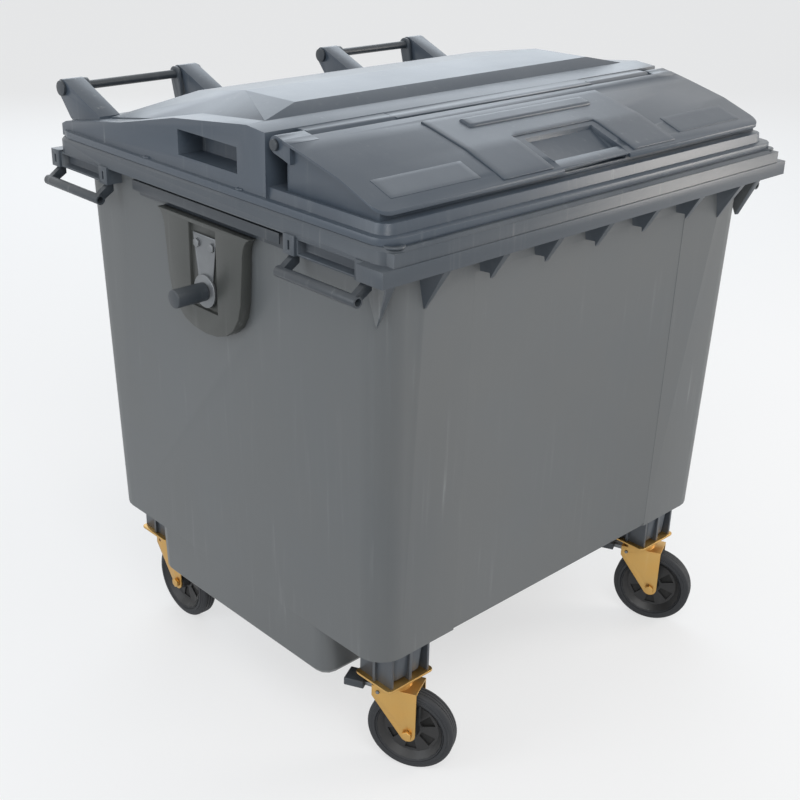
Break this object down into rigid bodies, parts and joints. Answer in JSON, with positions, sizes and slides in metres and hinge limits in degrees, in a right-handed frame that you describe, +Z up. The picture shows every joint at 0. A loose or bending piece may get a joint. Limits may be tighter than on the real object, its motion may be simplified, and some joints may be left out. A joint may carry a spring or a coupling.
{
  "type": "wheeled waste container",
  "caption": "Large four-wheeled waste container with a hinged main lid, a small flap set in it, lifting trunnions and braked casters.",
  "frame": {"origin": "centre of the whole object in plan, on the ground under the wheels", "axes": "+Z up, the front with the flap faces -Y, the width between the trunnions runs along X"},
  "size_m": [1.36, 1.169, 1.418],
  "materials": {
    "tub": "fine texture",
    "lid": "satin",
    "handle": "satin",
    "shield": "satin",
    "rubber": "matt",
    "hub": "satin",
    "gold": "yellow zinc",
    "steel": "zinc"
  },
  "bodies": {
    "tub": {"tub": "tub", "drain_plug": "handle", "handle_front_left": "handle", "handle_rear_left": "handle", "trunnion_shield_left": "shield", "trunnion_bracket_left": "handle", "trunnion_pin_left": "steel", "trunnion_sleeve_left": "handle", "trunnion_bolt_front_left": "steel", "trunnion_bolt_rear_left": "steel", "hinge_bar_left": "handle", "handle_front_right": "handle", "handle_rear_right": "handle", "trunnion_shield_right": "shield", "trunnion_bracket_right": "handle", "trunnion_pin_right": "steel", "trunnion_sleeve_right": "handle", "trunnion_bolt_front_right": "steel", "trunnion_bolt_rear_right": "steel", "hinge_bar_right": "handle", "caster_plate_front_left": "gold", "caster_plate_front_right": "gold", "caster_plate_rear_left": "gold", "caster_plate_rear_right": "gold"},
    "main_lid": {"main_lid": "lid", "flap_pin_left": "handle", "flap_pin_right": "handle"},
    "flap": {"flap": "lid"},
    "caster_front_left": {"fork_front_left": "gold", "axle_front_left": "gold"},
    "wheel_front_left": {"hub_front_left": "hub", "tyre_front_left": "rubber"},
    "pedal_front_left": {"brake_pedal_front_left": "steel", "pedal_pad_front_left": "handle"},
    "caster_front_right": {"fork_front_right": "gold", "axle_front_right": "gold"},
    "wheel_front_right": {"hub_front_right": "hub", "tyre_front_right": "rubber"},
    "pedal_front_right": {"brake_pedal_front_right": "steel", "pedal_pad_front_right": "handle"},
    "caster_rear_left": {"fork_rear_left": "gold", "axle_rear_left": "gold"},
    "wheel_rear_left": {"hub_rear_left": "hub", "tyre_rear_left": "rubber"},
    "caster_rear_right": {"fork_rear_right": "gold", "axle_rear_right": "gold"},
    "wheel_rear_right": {"hub_rear_right": "hub", "tyre_rear_right": "rubber"}
  },
  "joints": [
    {"name": "main_lid_hinge", "type": "hinge", "parent": "tub", "child": "main_lid", "pos_m": [0, 0.5645, 1.352], "axis": [-1, 0, 0], "range_deg": [0, 250]},
    {"name": "flap_hinge", "type": "hinge", "parent": "main_lid", "child": "flap", "pos_m": [0, -0.2455, 1.377], "axis": [-1, 0, 0], "range_deg": [0, 100]},
    {"name": "swivel_front_left", "type": "hinge", "parent": "tub", "child": "caster_front_left", "pos_m": [-0.443, -0.4395, 0.235], "axis": [0, 0, 1], "continuous": true},
    {"name": "wheel_spin_front_left", "type": "hinge", "parent": "caster_front_left", "child": "wheel_front_left", "pos_m": [-0.42257, -0.4796, 0.1], "axis": [0.891, 0.454, 0], "continuous": true},
    {"name": "brake_front_left", "type": "hinge", "parent": "caster_front_left", "child": "pedal_front_left", "pos_m": [-0.4548, -0.41633, 0.195], "axis": [-0.891, -0.454, 0], "range_deg": [0, 14]},
    {"name": "swivel_front_right", "type": "hinge", "parent": "tub", "child": "caster_front_right", "pos_m": [0.443, -0.4395, 0.235], "axis": [0, 0, 1], "continuous": true},
    {"name": "wheel_spin_front_right", "type": "hinge", "parent": "caster_front_right", "child": "wheel_front_right", "pos_m": [0.4613, -0.48061, 0.1], "axis": [0.9135, 0.4067, 0], "continuous": true},
    {"name": "brake_front_right", "type": "hinge", "parent": "caster_front_right", "child": "pedal_front_right", "pos_m": [0.43242, -0.41575, 0.195], "axis": [-0.9135, -0.4067, 0], "range_deg": [0, 14]},
    {"name": "swivel_rear_left", "type": "hinge", "parent": "tub", "child": "caster_rear_left", "pos_m": [-0.443, 0.3925, 0.235], "axis": [0, 0, 1], "continuous": true},
    {"name": "wheel_spin_rear_left", "type": "hinge", "parent": "caster_rear_left", "child": "wheel_rear_left", "pos_m": [-0.443, 0.3475, 0.1], "axis": [1, 0, 0], "continuous": true},
    {"name": "swivel_rear_right", "type": "hinge", "parent": "tub", "child": "caster_rear_right", "pos_m": [0.443, 0.3925, 0.235], "axis": [0, 0, 1], "continuous": true},
    {"name": "wheel_spin_rear_right", "type": "hinge", "parent": "caster_rear_right", "child": "wheel_rear_right", "pos_m": [0.443, 0.3475, 0.1], "axis": [1, 0, 0], "continuous": true}
  ]
}
